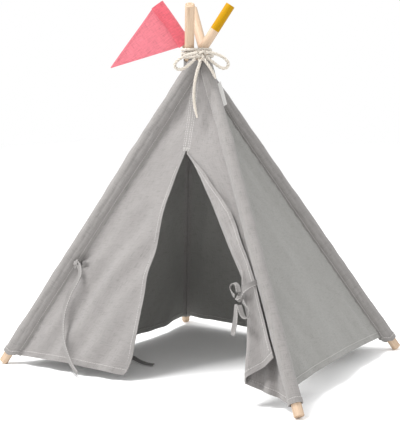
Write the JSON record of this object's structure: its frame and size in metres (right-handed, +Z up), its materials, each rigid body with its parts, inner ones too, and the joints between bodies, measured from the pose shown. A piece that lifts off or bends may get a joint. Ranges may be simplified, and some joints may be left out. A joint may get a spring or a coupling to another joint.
{
  "type": "teepee tent",
  "caption": "Small cloth teepee on four crossed wooden poles lashed near the top, with a split front whose one flap is tied back, loose fabric ties and a pennant on one pole.",
  "frame": {"origin": "bottom centre of the tent's bounding box, on the ground that the feet stand on", "axes": "+Z up; the door faces -Y; +X to the right of someone who looks in at the door"},
  "size_m": [0.7106, 0.5564, 0.7095],
  "materials": {
    "pole_wood": "bare turned pine, one tip dipped in yellow paint",
    "cover_cloth": "plain-weave warm grey cotton canvas",
    "cotton_rope": "three-strand natural cotton",
    "cloth_tape": "the cover's cloth folded and sewn into tape",
    "label_tape": "blank white woven tape",
    "flag_cloth": "pink slubby cotton"
  },
  "bodies": {
    "cover": {"panel_left": "cover_cloth", "panel_rear": "cover_cloth", "panel_right": "cover_cloth", "front_panel_left": "cover_cloth", "front_panel_right": "cover_cloth", "lashing_turn_1": "cotton_rope", "lashing_turn_2": "cotton_rope", "lashing_knot": "cotton_rope", "lashing_loop_left": "cotton_rope", "lashing_loop_right": "cotton_rope", "lashing_tail_long": "cotton_rope", "lashing_tail_short": "cotton_rope"},
    "leg_front_left": {"pole_front_left": "pole_wood", "pole_sleeve_front_left": "cover_cloth", "left_tie_outer": "cloth_tape", "left_tie_inner": "cloth_tape"},
    "leg_front_right": {"pole_front_right": "pole_wood", "pole_sleeve_front_right": "cover_cloth", "side_label": "label_tape", "door_flap_right": "cover_cloth", "tieback_band": "cloth_tape", "tieback_knot": "cloth_tape", "tieback_loop_upper": "cloth_tape", "tieback_loop_lower": "cloth_tape", "tieback_tail": "cloth_tape"},
    "leg_rear_right": {"pole_rear_right": "pole_wood", "pole_sleeve_rear_right": "cover_cloth"},
    "leg_rear_left": {"pole_rear_left": "pole_wood", "pole_sleeve_rear_left": "cover_cloth"},
    "door_flap": {"door_flap_left": "cover_cloth"},
    "flag_tube": {"flag_sleeve": "flag_cloth"},
    "flag": {"flag_pennant": "flag_cloth"}
  },
  "joints": [
    {"name": "fold_front_left", "type": "hinge", "parent": "cover", "child": "leg_front_left", "pos_m": [0, -0.06286, 0.59839], "axis": [0.5113, -0.8594, 0], "range_deg": [0, 30], "deforming": ["panel_left", "panel_rear", "panel_right", "front_panel_left", "front_panel_right", "door_flap_left", "door_flap_right", "pole_sleeve_front_left", "pole_sleeve_front_right", "pole_sleeve_rear_right", "pole_sleeve_rear_left", "lashing_loop_left", "lashing_loop_right", "lashing_tail_long", "lashing_tail_short", "tieback_loop_upper", "tieback_loop_lower", "tieback_tail", "left_tie_outer", "left_tie_inner", "lashing_turn_1", "lashing_turn_2", "lashing_knot", "tieback_band", "tieback_knot", "side_label"]},
    {"name": "fold_front_right", "type": "hinge", "parent": "cover", "child": "leg_front_right", "pos_m": [0, -0.03501, 0.59839], "axis": [0.5113, 0.8594, 0], "range_deg": [0, 30], "deforming": ["panel_left", "panel_rear", "panel_right", "front_panel_left", "front_panel_right", "door_flap_left", "door_flap_right", "pole_sleeve_front_left", "pole_sleeve_front_right", "pole_sleeve_rear_right", "pole_sleeve_rear_left", "lashing_loop_left", "lashing_loop_right", "lashing_tail_long", "lashing_tail_short", "tieback_loop_upper", "tieback_loop_lower", "tieback_tail", "left_tie_outer", "left_tie_inner", "lashing_turn_1", "lashing_turn_2", "lashing_knot", "tieback_band", "tieback_knot", "side_label"]},
    {"name": "fold_rear_right", "type": "hinge", "parent": "cover", "child": "leg_rear_right", "pos_m": [-0.02065, -0.03847, 0.59839], "axis": [-0.7632, 0.6461, 0], "range_deg": [0, 30], "deforming": ["panel_left", "panel_rear", "panel_right", "front_panel_left", "front_panel_right", "door_flap_left", "door_flap_right", "pole_sleeve_front_left", "pole_sleeve_front_right", "pole_sleeve_rear_right", "pole_sleeve_rear_left", "lashing_loop_left", "lashing_loop_right", "lashing_tail_long", "lashing_tail_short", "tieback_loop_upper", "tieback_loop_lower", "tieback_tail", "left_tie_outer", "left_tie_inner", "lashing_turn_1", "lashing_turn_2", "lashing_knot", "tieback_band", "tieback_knot", "side_label"]},
    {"name": "fold_rear_left", "type": "hinge", "parent": "cover", "child": "leg_rear_left", "pos_m": [-0.02023, -0.05988, 0.59839], "axis": [-0.7373, -0.6756, 0], "range_deg": [0, 30], "deforming": ["panel_left", "panel_rear", "panel_right", "front_panel_left", "front_panel_right", "door_flap_left", "door_flap_right", "pole_sleeve_front_left", "pole_sleeve_front_right", "pole_sleeve_rear_right", "pole_sleeve_rear_left", "lashing_loop_left", "lashing_loop_right", "lashing_tail_long", "lashing_tail_short", "tieback_loop_upper", "tieback_loop_lower", "tieback_tail", "left_tie_outer", "left_tie_inner", "lashing_turn_1", "lashing_turn_2", "lashing_knot", "tieback_band", "tieback_knot", "side_label"]},
    {"name": "door_flap_fold", "type": "hinge", "parent": "cover", "child": "door_flap", "pos_m": [0.0109, -0.10741, 0.42632], "axis": [-0.4222, -0.3158, -0.8497], "range_deg": [0, 120]},
    {"name": "flag_slide", "type": "slide", "parent": "leg_rear_right", "child": "flag_tube", "axis": [-0.364, -0.43, 0.8262], "range_m": [0, 0.09]},
    {"name": "flag_swing", "type": "hinge", "parent": "flag_tube", "child": "flag", "pos_m": [-0.05661, -0.08095, 0.65855], "axis": [-0.364, -0.43, 0.8262], "range_deg": [-45, 45]}
  ],
  "couplings": [
    {"joint": "fold_front_right", "follows": "fold_front_left", "ratio": 1},
    {"joint": "fold_rear_right", "follows": "fold_front_left", "ratio": 1},
    {"joint": "fold_rear_left", "follows": "fold_front_left", "ratio": 1}
  ]
}
